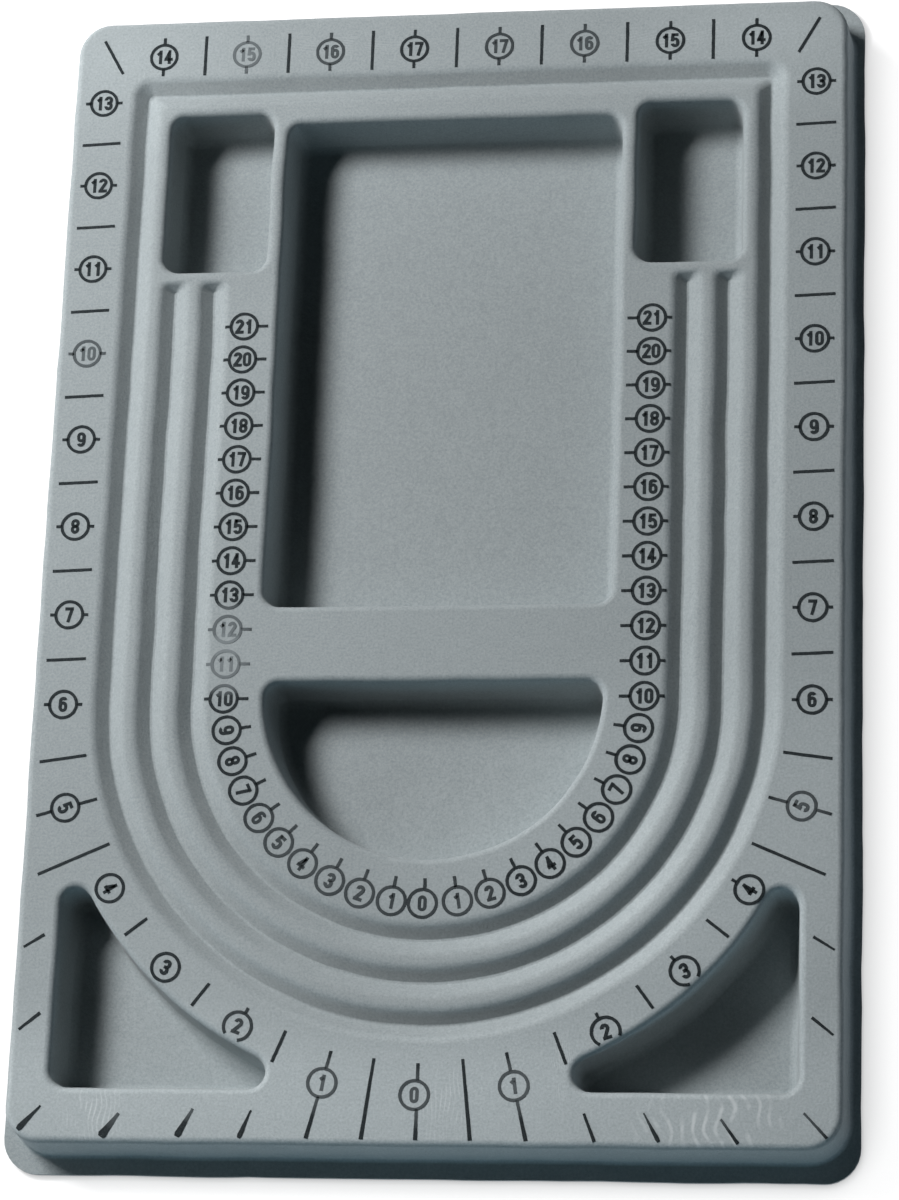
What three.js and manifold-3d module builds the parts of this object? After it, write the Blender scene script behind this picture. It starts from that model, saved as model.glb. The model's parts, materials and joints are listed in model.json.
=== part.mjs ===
// Bead board: one formed plastic sheet with three U-shaped bead channels and six wells, under flock.
// Millimetres, +Z up. The origin is on the table, under the middle of the board; +Y points to the top edge.

import * as THREE from 'three';
import { mergeVertices } from 'three/addons/utils/BufferGeometryUtils.js';
import Module from 'manifold-3d';

// Board
const boardWidth = 228; // trimmed edge to trimmed edge
const boardLength = 335;
const boardHeight = 18; // table to the flocked face
const trimCornerRadius = 9.5;
const brimSideReach = 5.8; // trimmed edge to where the face starts to turn down
const brimEndReach = 8;
const faceCornerRadius = 7.5;

// Layers
const sheetThickness = 1;
const flockThickness = 0.6;

// Skirt, from the face down to the brim
const skirtDraft = 3.5; // degrees from upright
const skirtBendRadius = 0.4; // tightest bend, on the underside of the sheet
const skirtFootRadius = 1.2;

// Channels
const channelCount = 3;
const channelDepth = 3.1;
const channelDraft = 51;
const channelRidgeRadius = 3.4;
const channelValleyRadius = 0.8;
const ridgeLand = 0.7; // flat left on top of a ridge
const channelEndRun = 0.55; // an inner channel's ends move in by this share of what its sides do
const channelEndRadius = 2;
const channelEndRoundness = 0.9; // most of a channel's half width that its ends' corners may take
const sideRim = 13.8; // flat face outside the outer channel, at the sides, top and bottom
const topRim = 15.1;
const bottomRim = 24.4;
const loopCornerRadius = 6.5; // outer channel's top corners, on its outer edge
const loopInnerRadius = 2; // the same corners on its inner edge

// Wells, measured on the face where their rounded edges start
const wellDraft = 5;
const wellBendRadius = 0.4; // tightest bend, on the underside of the sheet
const wellFloorRadius = 2.5;
const wellCornerRadius = 6.3;
const scaleStrip = 11.6; // face between the inner channel and the centre well
const bowlStrip = 13.3; // face between the inner channel and the half-moon well
const bowlRise = 1.2; // the half-moon's arc is centred this far above the channels' arcs
const bowlHead = 5.1; // the half-moon's straight side lies this far above its arc's centre
const crossBand = 17.6; // face between the half-moon well and the centre well
const centreWellHeadland = 3.45; // face between the centre well and the outer channel
const wallLand = 0.4; // flat on top of the wall between the centre and side wells
const sideWellSideLand = 0.4; // face between a side well and the outer channel, beside it and above it
const sideWellTopLand = 0.1;
const sideWellLength = 51.85;
const channelEndLand = 0.5; // face between a side well and the channels that end below it
const cornerWellSideRim = 7.6; // face outside a corner well
const cornerWellFootDrop = 13.6; // a corner well's foot lies this far below the outer channel
const cornerStrip = 8; // face between the outer channel and a corner well
const cornerArcShift = 2.7; // the corner wells' arcs are centred this far below the channels' arcs

// Facets
const cornerSteps = 4;
const channelArcSteps = 20;
const channelEndSteps = 3;
const bowlArcSteps = 16;
const cornerArcSteps = 8;
const edgeSteps = 2;
const footSteps = 2;
const leastRadius = 0.2; // an inset corner never turns tighter than this
const cutClearance = 2; // how far cutters and blanks run past the faces that they cut

const wasm = await Module();
wasm.setup();

const radians = THREE.MathUtils.degToRad;

// Section of a pressed step: over a rounded edge, down a wall and round onto a lower level.
// run counts from where the edge starts to turn; the radii share centres at every depth under the face.
function stepSection({ draft, edgeRadius, footRadius, drop }) {
  const turn = radians(90 - draft);
  const roundRun = (edgeRadius + footRadius) * Math.sin(turn);
  const straightDrop = drop - (edgeRadius + footRadius) * (1 - Math.cos(turn));
  return { turn, edgeRadius, footRadius, drop, reach: roundRun + straightDrop / Math.tan(turn) };
}

// Points of a step's section on the surface that lies `depth` under the face, from the edge to the foot.
function sectionPoints({ turn, edgeRadius, footRadius, drop, reach }, depth) {
  const points = [];
  for (let i = 0; i <= edgeSteps; i++) {
    const angle = (turn * i) / edgeSteps;
    const run = (edgeRadius - depth) * Math.sin(angle);
    const level = boardHeight - edgeRadius + (edgeRadius - depth) * Math.cos(angle);
    points.push({ run, level });
  }
  for (let i = footSteps; i >= 0; i--) {
    const angle = (turn * i) / footSteps;
    const run = reach - (footRadius + depth) * Math.sin(angle);
    const level = boardHeight - drop + footRadius - (footRadius + depth) * Math.cos(angle);
    points.push({ run, level });
  }
  return points;
}

// Points along an arc, angles in degrees
function arc(x, y, radius, from, to, steps) {
  const points = [];
  for (let i = 0; i <= steps; i++) {
    const angle = radians(from + ((to - from) * i) / steps);
    points.push(new THREE.Vector2(x + radius * Math.cos(angle), y + radius * Math.sin(angle)));
  }
  return points;
}

// Corner radius left after an outline has moved inwards by `inset`
function insetRadius(radius, inset) {
  return Math.max(radius - inset, leastRadius);
}

function roundedRectangle({ left, right, bottom, top, radius }, inset) {
  const corner = insetRadius(radius, inset);
  const margin = inset + corner;
  return [
    ...arc(right - margin, bottom + margin, corner, -90, 0, cornerSteps),
    ...arc(right - margin, top - margin, corner, 0, 90, cornerSteps),
    ...arc(left + margin, top - margin, corner, 90, 180, cornerSteps),
    ...arc(left + margin, bottom + margin, corner, 180, 270, cornerSteps),
  ];
}

// Half disc under a straight top side
function halfMoon({ top, centreY, bowlRadius, radius }, inset) {
  const corner = insetRadius(radius, inset);
  const cornerY = top - inset - corner;
  const cornerX = Math.sqrt((bowlRadius - inset - corner) ** 2 - (cornerY - centreY) ** 2);
  const tilt = THREE.MathUtils.radToDeg(Math.atan2(cornerY - centreY, cornerX));
  return [
    ...arc(cornerX, cornerY, corner, tilt, 90, cornerSteps),
    ...arc(-cornerX, cornerY, corner, 90, 180 - tilt, cornerSteps),
    ...arc(0, centreY, bowlRadius - inset, 180 - tilt, 360 + tilt, bowlArcSteps).slice(1, -1),
  ];
}

// Three-cornered well in the right-hand bottom corner, with a hollow third side about the channels
function cornerTriangle({ right, bottom, centreY, arcRadius, radius }, inset) {
  const corner = insetRadius(radius, inset);
  const margin = inset + corner;
  const reach = arcRadius + margin;
  const footY = bottom + margin;
  const footX = Math.sqrt(reach ** 2 - (footY - centreY) ** 2);
  const sideX = right - margin;
  const sideY = centreY - Math.sqrt(reach ** 2 - sideX ** 2);
  const footTilt = THREE.MathUtils.radToDeg(Math.atan2(footY - centreY, footX));
  const sideTilt = THREE.MathUtils.radToDeg(Math.atan2(sideY - centreY, sideX));
  return [
    ...arc(sideX, footY, corner, -90, 0, cornerSteps),
    ...arc(sideX, sideY, corner, 0, 180 + sideTilt, cornerSteps),
    ...arc(0, centreY, arcRadius + inset, sideTilt, footTilt, cornerArcSteps).slice(1, -1),
    ...arc(footX, footY, corner, 180 + footTilt, 270, cornerSteps),
  ];
}

// The outer channel runs all the way round: a bowl below, straight sides and two tight corners above.
function channelLoop({ centreY, outerRadius, top, radius }, inset) {
  const corner = Math.max(radius - inset, loopInnerRadius);
  const side = outerRadius - inset;
  return [
    ...arc(0, centreY, side, 180, 360, channelArcSteps),
    ...arc(side - corner, top - inset - corner, corner, 0, 90, cornerSteps),
    ...arc(corner - side, top - inset - corner, corner, 90, 180, cornerSteps),
  ];
}

// Outline of an inner channel: a U with square ends, whose walls are steeper than its sides
function channelU({ centreY, middleRadius, halfWidth, end }, inset) {
  const half = halfWidth - inset;
  const corner = Math.min(channelEndRadius, channelEndRoundness * half);
  const cornerX = half - corner;
  const cornerY = end - channelEndRun * inset - corner;
  return [
    ...arc(0, centreY, middleRadius + half, 180, 360, channelArcSteps),
    ...arc(middleRadius + cornerX, cornerY, corner, 0, 90, channelEndSteps),
    ...arc(middleRadius - cornerX, cornerY, corner, 90, 180, channelEndSteps),
    ...arc(0, centreY, middleRadius - half, 360, 180, channelArcSteps),
    ...arc(cornerX - middleRadius, cornerY, corner, 0, 90, channelEndSteps),
    ...arc(-cornerX - middleRadius, cornerY, corner, 90, 180, channelEndSteps),
  ];
}

function mirrored(outline) {
  return outline.map((point) => new THREE.Vector2(-point.x, point.y)).reverse();
}

// Skin of triangles between rings of points, each {outline, level}, from the lowest to the highest.
// A closed skin joins the last ring to the first; an open one gets flat caps.
function loft(rings, closed = false) {
  const count = rings[0].outline.length;
  const positions = rings.flatMap(({ outline, level }) => outline.flatMap(({ x, y }) => [x, y, level]));
  const indices = [];
  const strips = closed ? rings.length : rings.length - 1;
  for (let ring = 0; ring < strips; ring++) {
    const low = ring * count;
    const high = ((ring + 1) % rings.length) * count;
    for (let i = 0; i < count; i++) {
      const next = (i + 1) % count;
      indices.push(low + i, low + next, high + next);
      indices.push(low + i, high + next, high + i);
    }
  }
  if (!closed) {
    const last = (rings.length - 1) * count;
    for (const [a, b, c] of THREE.ShapeUtils.triangulateShape(rings[0].outline, [])) {
      indices.push(c, b, a);
    }
    for (const [a, b, c] of THREE.ShapeUtils.triangulateShape(rings.at(-1).outline, [])) {
      indices.push(last + a, last + b, last + c);
    }
  }
  const geometry = new THREE.BufferGeometry();
  geometry.setAttribute('position', new THREE.Float32BufferAttribute(positions, 3));
  geometry.setIndex(indices);
  return geometry;
}

function solid(geometry) {
  const merged = mergeVertices(geometry);
  const vertProperties = new Float32Array(merged.attributes.position.array);
  const triVerts = new Uint32Array(merged.index.array);
  return new wasm.Manifold(new wasm.Mesh({ numProp: 3, vertProperties, triVerts }));
}

function geometryOf(manifold) {
  const mesh = manifold.getMesh();
  const geometry = new THREE.BufferGeometry();
  geometry.setAttribute('position', new THREE.BufferAttribute(new Float32Array(mesh.vertProperties), 3));
  geometry.setIndex(new THREE.BufferAttribute(new Uint32Array(mesh.triVerts), 1));
  geometry.computeVertexNormals();
  return geometry;
}

// Steps
const brimHeight = sheetThickness + flockThickness;
const fullDrop = boardHeight - brimHeight;
const skirtStep = stepSection({
  draft: skirtDraft,
  edgeRadius: skirtBendRadius + brimHeight,
  footRadius: skirtFootRadius,
  drop: fullDrop,
});
const wellStep = stepSection({
  draft: wellDraft,
  edgeRadius: wellBendRadius + brimHeight,
  footRadius: wellFloorRadius,
  drop: fullDrop,
});
const channelStep = stepSection({
  draft: channelDraft,
  edgeRadius: channelRidgeRadius,
  footRadius: channelValleyRadius,
  drop: channelDepth,
});

// Layout on the face
const trim = {
  left: -boardWidth / 2,
  right: boardWidth / 2,
  bottom: -boardLength / 2,
  top: boardLength / 2,
  radius: trimCornerRadius,
};
const face = {
  left: trim.left + brimSideReach,
  right: trim.right - brimSideReach,
  bottom: trim.bottom + brimEndReach,
  top: trim.top - brimEndReach,
  radius: faceCornerRadius,
};
const loopOuterRadius = face.right - sideRim;
const channelCentreY = face.bottom + bottomRim + loopOuterRadius;
const channelHalfWidth = channelStep.reach;
const channelPitch = 2 * channelHalfWidth + ridgeLand;
const outerLoop = {
  centreY: channelCentreY,
  outerRadius: loopOuterRadius,
  top: face.top - topRim,
  radius: loopCornerRadius,
};
const deckTop = outerLoop.top - 2 * channelHalfWidth;
const deckSide = loopOuterRadius - 2 * channelHalfWidth;
const deckInnerRadius = deckSide - (channelCount - 1) * channelPitch;

const halfMoonWell = {
  top: channelCentreY + bowlRise + bowlHead,
  centreY: channelCentreY + bowlRise,
  bowlRadius: deckInnerRadius - bowlStrip,
  radius: wellCornerRadius,
};
const centreWell = {
  left: scaleStrip - deckInnerRadius,
  right: deckInnerRadius - scaleStrip,
  bottom: halfMoonWell.top + crossBand,
  top: deckTop - centreWellHeadland,
  radius: wellCornerRadius,
};
const sideWell = {
  left: centreWell.right + wallLand,
  right: deckSide - sideWellSideLand,
  bottom: deckTop - sideWellTopLand - sideWellLength,
  top: deckTop - sideWellTopLand,
  radius: wellCornerRadius,
};
const cornerWell = {
  right: face.right - cornerWellSideRim,
  bottom: channelCentreY - loopOuterRadius - cornerWellFootDrop,
  centreY: channelCentreY - cornerArcShift,
  arcRadius: loopOuterRadius + cornerStrip,
  radius: wellCornerRadius,
};
const channelEnd = sideWell.bottom - channelEndLand;

// Outlines of the six wells, each as a function of how far it has moved in from the edge
const wellOutlines = [
  (inset) => roundedRectangle(centreWell, inset),
  (inset) => roundedRectangle(sideWell, inset),
  (inset) => mirrored(roundedRectangle(sideWell, inset)),
  (inset) => halfMoon(halfMoonWell, inset),
  (inset) => cornerTriangle(cornerWell, inset),
  (inset) => mirrored(cornerTriangle(cornerWell, inset)),
];

// Everything under the face, down to below the table: the face rises from the brim over the skirt.
function blank(depth) {
  const rings = sectionPoints(skirtStep, depth).map(({ run, level }) => ({
    outline: roundedRectangle(face, -run),
    level,
  }));
  const brimOutline = roundedRectangle(trim, -cutClearance);
  rings.push({ outline: brimOutline, level: brimHeight - depth });
  rings.push({ outline: brimOutline, level: -cutClearance - depth });
  return solid(loft(rings.reverse()));
}

function wellCutter(outlineAt, depth) {
  const section = sectionPoints(wellStep, depth);
  const rings = section.map(({ run, level }) => ({ outline: outlineAt(run), level }));
  rings.unshift({ outline: outlineAt(0), level: boardHeight + cutClearance });
  return solid(loft(rings.reverse()));
}

// The inner channels close at the bottom with a narrow flat, so the last point of the section is left out.
function channelUCutter(middleRadius, depth) {
  const path = { centreY: channelCentreY, middleRadius, halfWidth: channelHalfWidth, end: channelEnd };
  const rings = sectionPoints(channelStep, depth)
    .slice(0, -1)
    .map(({ run, level }) => ({ outline: channelU(path, run), level }));
  rings.unshift({ outline: channelU(path, 0), level: boardHeight + cutClearance });
  return solid(loft(rings.reverse()));
}

function channelLoopCutter(depth) {
  const halfSection = sectionPoints(channelStep, depth).slice(0, -1);
  halfSection.unshift({ run: 0, level: boardHeight + cutClearance });
  const width = 2 * channelHalfWidth;
  const farHalf = halfSection.map(({ run, level }) => ({ run: width - run, level })).reverse();
  const rings = [...halfSection, ...farHalf].map(({ run, level }) => ({
    outline: channelLoop(outerLoop, run),
    level,
  }));
  return solid(loft(rings.reverse(), true));
}

// The pressed form whose surface lies `depth` under the flocked face
function pressedForm(depth) {
  let form = blank(depth).subtract(channelLoopCutter(depth));
  for (let i = 1; i < channelCount; i++) {
    const middleRadius = loopOuterRadius - channelHalfWidth - i * channelPitch;
    form = form.subtract(channelUCutter(middleRadius, depth));
  }
  for (const outlineAt of wellOutlines) {
    form = form.subtract(wellCutter(outlineAt, depth));
  }
  return form;
}

// Die that cuts the formed sheet and its flock to the board's outline
function trimDie() {
  const outline = roundedRectangle(trim, 0);
  const rings = [-2 * cutClearance, boardHeight + 2 * cutClearance].map((level) => ({ outline, level }));
  return solid(loft(rings));
}

const sheetTop = pressedForm(flockThickness);
const flockLayer = pressedForm(0).subtract(sheetTop).intersect(trimDie());
const formedTray = sheetTop.subtract(pressedForm(brimHeight)).intersect(trimDie());

const plastic = new THREE.MeshStandardMaterial({ color: 0x5d6669, roughness: 0.45, metalness: 0 });
const flock = new THREE.MeshStandardMaterial({ color: 0x9aa3a6, roughness: 1, metalness: 0 });

const board = new THREE.Group();
board.name = 'bead_board';
for (const [name, form, material] of [
  ['formed_tray', formedTray, plastic],
  ['flock_layer', flockLayer, flock],
]) {
  const mesh = new THREE.Mesh(geometryOf(form), material);
  mesh.name = name;
  board.add(mesh);
}

export default board;
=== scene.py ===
import json
from math import atan2, cos, degrees, hypot, radians, sin, sqrt, tan

import bmesh
import bpy
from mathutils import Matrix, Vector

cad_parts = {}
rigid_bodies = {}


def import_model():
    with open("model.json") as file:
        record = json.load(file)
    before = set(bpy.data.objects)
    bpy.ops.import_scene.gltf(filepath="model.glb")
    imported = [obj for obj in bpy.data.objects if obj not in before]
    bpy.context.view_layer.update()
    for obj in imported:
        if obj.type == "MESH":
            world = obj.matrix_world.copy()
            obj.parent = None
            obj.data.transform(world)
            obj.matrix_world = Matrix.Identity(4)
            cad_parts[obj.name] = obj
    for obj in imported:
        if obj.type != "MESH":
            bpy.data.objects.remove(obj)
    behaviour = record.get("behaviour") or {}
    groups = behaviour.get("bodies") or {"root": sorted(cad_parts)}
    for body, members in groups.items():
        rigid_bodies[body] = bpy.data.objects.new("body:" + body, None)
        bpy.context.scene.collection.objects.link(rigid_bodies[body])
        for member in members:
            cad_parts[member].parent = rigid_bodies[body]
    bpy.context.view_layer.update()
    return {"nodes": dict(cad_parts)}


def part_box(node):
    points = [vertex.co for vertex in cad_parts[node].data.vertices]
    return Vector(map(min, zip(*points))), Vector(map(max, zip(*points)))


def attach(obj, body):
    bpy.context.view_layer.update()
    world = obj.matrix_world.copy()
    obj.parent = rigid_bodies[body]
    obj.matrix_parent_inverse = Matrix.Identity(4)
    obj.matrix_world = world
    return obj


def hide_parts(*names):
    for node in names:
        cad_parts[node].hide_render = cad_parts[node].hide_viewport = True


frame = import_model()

scene = bpy.context.scene
scene.view_settings.view_transform = "Standard"
mm = 0.001
print("frame loaded:", ", ".join(sorted(frame["nodes"])))


# Camera, fitted to the printed marks
view = {
    "place": (0.15876, -0.31537, 0.97610),
    "turn": (17.583, 8.551, 2.058),  # degrees about X, Y and Z
    "lens": 113.0,  # lens and sensor in mm
    "sensor": 36.0,  # along the picture's long side
    "nearest": 0.01,
}

bpy.ops.object.camera_add(location=view["place"], rotation=[radians(a) for a in view["turn"]])
camera = bpy.context.object
camera.name = "photoCamera"
camera.data.lens = view["lens"]
camera.data.sensor_width = view["sensor"]
camera.data.clip_start = view["nearest"]
scene.camera = camera
print("camera placed")


# The pressed sheet, in millimetres; heights and the outline come from the frame
flockLow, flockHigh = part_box("flock_layer")
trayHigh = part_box("formed_tray")[1]
press = {
    "width": (flockHigh.x - flockLow.x) / mm,
    "length": (flockHigh.y - flockLow.y) / mm,
    "faceLevel": flockHigh.z / mm,
    "flock": (flockHigh.z - trayHigh.z) / mm,
    "glueLine": 0.05,  # left between the flock and the sheet
    "sheet": 1.0,
    "trimCorner": 9.5,
    "brimSide": 5.8,  # trimmed edge to where the face starts to turn down
    "brimEnd": 8.0,
    "faceCorner": 7.5,
    "cornerSteps": 8,
    "sideStretches": 60,
    "endStretches": 40,
    "lineStep": 5.0,  # length of one stretch along the wells' straights
    "close": 0.002,  # points nearer than this are one
    "sharpTurn": 40,  # degrees past which an edge stays sharp
    "flatWeight": 100,  # by which large faces decide the shading
}
# drafts in degrees; bend, foot, ridge and valley are radii
skirt = {"draft": 3.5, "bend": 0.4, "foot": 1.2, "edgeSteps": 6, "footSteps": 5}
channels = {
    "draft": 51.0,
    "ridge": 3.4,
    "valley": 0.8,
    "depth": 3.1,
    "land": 0.7,  # flat left on top of a ridge
    "count": 3,
    "sideRim": 13.8,  # the face's edge to the outer channel
    "topRim": 15.1,
    "bottomRim": 24.4,
    "loopCorner": 6.5,
    "innerCorner": 2.0,
    "endRun": 0.55,  # the ends move in by this share of what the sides do
    "endCorner": 2.0,
    "endRoundness": 0.9,  # most of the half width that an end's corner may take
    "edgeSteps": 5,
    "footSteps": 3,
    "arcSteps": 90,
    "endSteps": 5,
    "sideStretches": 36,
    "topStretches": 30,
    "legStretches": 26,
    "endStretches": 2,
}
wells = {
    "draft": 5.0,
    "bend": 0.4,
    "foot": 2.5,
    "corner": 6.3,
    "scaleStrip": 11.6,  # inner channel to the centre well
    "bowlStrip": 13.3,  # inner channel to the half moon
    "bowlRise": 1.2,  # its centre above that of the channels' bends
    "bowlHead": 5.1,  # its straight side above its centre
    "crossBand": 17.6,  # half moon to the centre well
    "headland": 3.45,  # centre well to the outer channel
    "wallLand": 0.4,  # centre well to a side well
    "sideLand": 0.4,  # side well to the outer channel, beside and above it
    "topLand": 0.1,
    "sideLength": 51.85,
    "endLand": 0.5,  # side well to the channels' ends
    "cornerSideRim": 7.6,  # the face's edge to a corner well
    "cornerFootDrop": 13.6,  # the outer channel's lowest point to its foot
    "cornerStrip": 8.0,  # outer channel to its hollow side
    "cornerArcShift": 2.7,
    "edgeSteps": 6,
    "footSteps": 6,
    "bowlSteps": 56,
    "hollowSteps": 20,
}
# by which the pressed edges wander
uneven = {"reach": 0.5 * mm, "size": 13 * mm, "longReach": 0.7 * mm, "longSize": 45 * mm}

brimLevel = press["sheet"] + press["flock"]
fullDrop = press["faceLevel"] - brimLevel


def stepSection(draft, edge, foot, drop):
    # a rounded edge, a drafted wall and a rounded foot
    turn = radians(90 - draft)
    straight = drop - (edge + foot) * (1 - cos(turn))
    reach = (edge + foot) * sin(turn) + straight / tan(turn)
    return {"turn": turn, "edge": edge, "foot": foot, "drop": drop, "reach": reach}


def sectionPoints(section, steps):
    # (run, level) from the edge to the foot
    points = []
    for i in range(steps["edgeSteps"] + 1):
        angle = section["turn"] * i / steps["edgeSteps"]
        run = section["edge"] * sin(angle)
        points.append((run, press["faceLevel"] - section["edge"] * (1 - cos(angle))))
    low = press["faceLevel"] - section["drop"]
    for i in range(steps["footSteps"], -1, -1):
        angle = section["turn"] * i / steps["footSteps"]
        run = section["reach"] - section["foot"] * sin(angle)
        points.append((run, low + section["foot"] * (1 - cos(angle))))
    return points


skirtSection = stepSection(skirt["draft"], skirt["bend"] + brimLevel, skirt["foot"], fullDrop)
wellSection = stepSection(wells["draft"], wells["bend"] + brimLevel, wells["foot"], fullDrop)
channelSection = stepSection(
    channels["draft"],
    channels["ridge"],
    channels["valley"],
    channels["depth"],
)

# Layout on the face, each line from its neighbour
faceX = press["width"] / 2 - press["brimSide"]
faceY = press["length"] / 2 - press["brimEnd"]
halfChannel = channelSection["reach"]
pitch = 2 * halfChannel + channels["land"]
loopRadius = faceX - channels["sideRim"]
bendY = -faceY + channels["bottomRim"] + loopRadius  # centre of the channels' bends
loopTop = faceY - channels["topRim"]
deckTop = loopTop - 2 * halfChannel
deckSide = loopRadius - 2 * halfChannel
deckInner = deckSide - (channels["count"] - 1) * pitch
bowlY = bendY + wells["bowlRise"]
bowlTop = bowlY + wells["bowlHead"]
bowlRadius = deckInner - wells["bowlStrip"]
centreX = deckInner - wells["scaleStrip"]
centreBottom = bowlTop + wells["crossBand"]
centreTop = deckTop - wells["headland"]
sideInner = centreX + wells["wallLand"]
sideOuter = deckSide - wells["sideLand"]
sideTop = deckTop - wells["topLand"]
sideBottom = sideTop - wells["sideLength"]
channelEnd = sideBottom - wells["endLand"]
cornerX = faceX - wells["cornerSideRim"]
cornerFoot = bendY - loopRadius - wells["cornerFootDrop"]
cornerBendY = bendY - wells["cornerArcShift"]
cornerRadius = loopRadius + wells["cornerStrip"]


# Outlines as arcs (x, y, radius, from, to, steps) that straight lines join, anticlockwise
def rectangleArcs(left, right, bottom, top, corner):
    steps = press["cornerSteps"]
    return [
        (right - corner, bottom + corner, corner, -90, 0, steps),
        (right - corner, top - corner, corner, 0, 90, steps),
        (left + corner, top - corner, corner, 90, 180, steps),
        (left + corner, bottom + corner, corner, 180, 270, steps),
    ]


def halfMoonArcs():
    corner = wells["corner"]
    y = bowlTop - corner
    x = sqrt((bowlRadius - corner) ** 2 - (y - bowlY) ** 2)
    tilt = degrees(atan2(y - bowlY, x))
    steps = press["cornerSteps"]
    return [
        (x, y, corner, tilt, 90, steps),
        (-x, y, corner, 90, 180 - tilt, steps),
        (0, bowlY, bowlRadius, 180 - tilt, 360 + tilt, wells["bowlSteps"]),
    ]


def cornerWellArcs():
    corner = wells["corner"]
    reach = cornerRadius + corner
    footY = cornerFoot + corner
    footX = sqrt(reach**2 - (footY - cornerBendY) ** 2)
    sideX = cornerX - corner
    sideY = cornerBendY - sqrt(reach**2 - sideX**2)
    footTilt = degrees(atan2(footY - cornerBendY, footX))
    sideTilt = degrees(atan2(sideY - cornerBendY, sideX))
    steps = press["cornerSteps"]
    return [
        (sideX, footY, corner, -90, 0, steps),
        (sideX, sideY, corner, 0, 180 + sideTilt, steps),
        (0, cornerBendY, cornerRadius, sideTilt, footTilt, wells["hollowSteps"]),
        (footX, footY, corner, 180 + footTilt, 270, steps),
    ]


def mirroredArcs(arcs):
    return [(-x, y, r, 180 - end, 180 - start, n) for x, y, r, start, end, n in reversed(arcs)]


def loopArcs(inset):
    side = loopRadius - inset
    corner = max(channels["loopCorner"] - inset, channels["innerCorner"])
    top = loopTop - inset - corner
    steps = press["cornerSteps"]
    return [
        (0, bendY, side, 180, 360, channels["arcSteps"]),
        (side - corner, top, corner, 0, 90, steps),
        (corner - side, top, corner, 90, 180, steps),
    ]


def channelArcs(middle, inset):
    half = halfChannel - inset
    corner = min(channels["endCorner"], channels["endRoundness"] * half)
    x = half - corner
    y = channelEnd - channels["endRun"] * inset - corner
    steps = channels["endSteps"]
    return [
        (0, bendY, middle + half, 180, 360, channels["arcSteps"]),
        (middle + x, y, corner, 0, 90, steps),
        (middle - x, y, corner, 90, 180, steps),
        (0, bendY, middle - half, 360, 180, channels["arcSteps"]),
        (x - middle, y, corner, 0, 90, steps),
        (-x - middle, y, corner, 90, 180, steps),
    ]


def deselectAll():
    if bpy.context.mode != "OBJECT":
        bpy.ops.object.mode_set(mode="OBJECT")
    bpy.ops.object.select_all(action="DESELECT")


def joinPieces(pieces):
    deselectAll()
    for piece in pieces:
        piece.select_set(True)
    bpy.context.view_layer.objects.active = pieces[0]
    bpy.ops.object.join()
    return pieces[0]


def onArc(arc, share):
    x, y, radius, start, end, steps = arc
    angle = radians(start + (end - start) * share)
    return x + radius * cos(angle), y + radius * sin(angle)


def selectPoint(x, y):
    bpy.ops.mesh.select_all(action="DESELECT")
    mesh = bmesh.from_edit_mesh(bpy.context.object.data)
    for point in mesh.verts:
        if hypot(point.co.x - x, point.co.y - y) < press["close"]:
            point.select_set(True)
    bmesh.update_edit_mesh(bpy.context.object.data)


def selectEdges(test):
    # edges that pass the test, given the faces beside them and their middle
    bpy.ops.mesh.select_all(action="DESELECT")
    mesh = bmesh.from_edit_mesh(bpy.context.object.data)
    for edge in mesh.edges:
        if test(len(edge.link_faces), (edge.verts[0].co + edge.verts[1].co) / 2):
            edge.select_set(True)
    mesh.select_flush_mode()
    bmesh.update_edit_mesh(bpy.context.object.data)


def faceUp():
    mesh = bmesh.from_edit_mesh(bpy.context.object.data)
    mesh.normal_update()
    if any(f.select and f.normal.z < 0 for f in mesh.faces):
        bpy.ops.mesh.flip_normals()


def drawOutline(arcs, level, stretches=None):
    # one point goes round: it is spun round the bends and extruded along the straights
    deselectAll()
    bpy.ops.mesh.primitive_plane_add(size=1)
    outline = bpy.context.object
    bpy.ops.object.mode_set(mode="EDIT")
    bpy.ops.mesh.select_mode(type="VERT")
    bpy.ops.mesh.merge(type="CENTER")
    here = onArc(arcs[0], 0)
    bpy.ops.transform.translate(value=(here[0], here[1], level))
    for number, arc in enumerate(arcs):
        x, y, radius, start, end, steps = arc
        bpy.ops.mesh.spin(
            steps=steps,
            angle=radians(start - end),
            center=(x, y, level),
            axis=(0, 0, 1),
        )
        here = onArc(arc, 1)
        there = onArc(arcs[(number + 1) % len(arcs)], 0)
        gap = hypot(there[0] - here[0], there[1] - here[1])
        if gap < press["close"]:
            continue
        bpy.ops.mesh.extrude_vertices_move(
            TRANSFORM_OT_translate={"value": (there[0] - here[0], there[1] - here[1], 0)}
        )
        count = stretches[number] if stretches else round(gap / press["lineStep"])
        if count > 1:
            bpy.ops.mesh.select_more()
            bpy.ops.mesh.subdivide(number_cuts=count - 1)
        selectPoint(there[0], there[1])
    bpy.ops.mesh.select_all(action="SELECT")
    bpy.ops.mesh.remove_doubles(threshold=press["close"])
    return outline


def sinkOutline(arcs, level, points, stretches=None):
    # fills the outline and insets it along a section: in by each run, down or up to each level
    hollow = drawOutline(arcs, level, stretches)
    bpy.ops.mesh.edge_face_add()
    faceUp()
    for (run, height), (nextRun, nextHeight) in zip(points, points[1:]):
        bpy.ops.mesh.inset(
            thickness=nextRun - run,
            depth=0,
            use_boundary=True,
            use_even_offset=True,
        )
        bpy.ops.transform.translate(value=(0, 0, nextHeight - height))
    return hollow


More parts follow.
